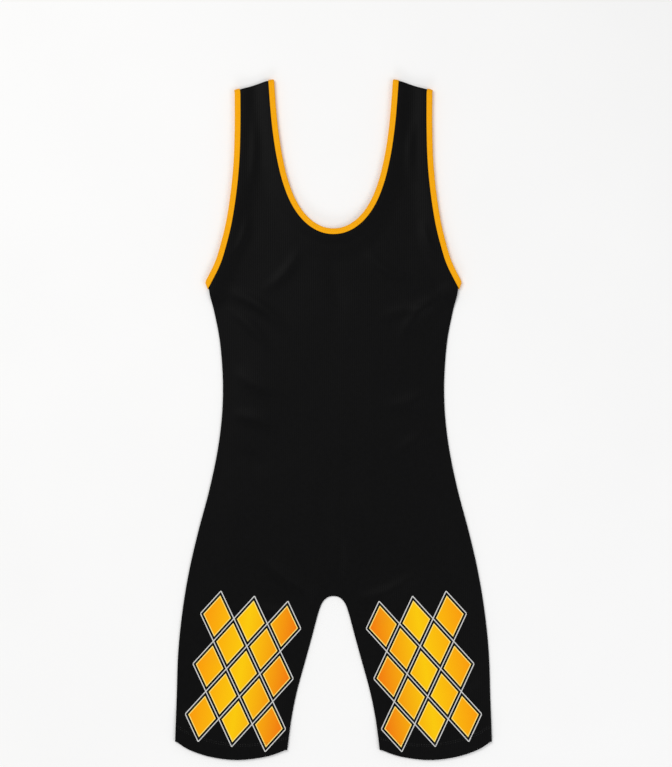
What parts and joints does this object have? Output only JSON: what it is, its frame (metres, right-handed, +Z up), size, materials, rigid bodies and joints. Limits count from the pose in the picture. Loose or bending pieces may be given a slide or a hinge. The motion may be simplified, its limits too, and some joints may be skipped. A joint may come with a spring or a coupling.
{
  "type": "wrestling singlet",
  "caption": "Sleeveless one-piece wrestling singlet with short legs, laid flat with its back up; bound scoop neck and bound armholes.",
  "frame": {"origin": "the middle of the laid-out garment's bounding box, on the surface that it lies on", "axes": "+Y towards the neck, +Z up out of the garment's back, +X towards the wearer's right"},
  "size_m": [0.412, 0.8843, 0.0077],
  "materials": {
    "black_knit": "smooth stretch knit with a soft sheen",
    "gold_binding": "matt ribbed stretch binding"
  },
  "bodies": {
    "root": {"back_panel": "black_knit", "front_panel": "black_knit", "neck_binding": "gold_binding", "armhole_binding_left": "gold_binding", "armhole_binding_right": "gold_binding"}
  },
  "joints": []
}
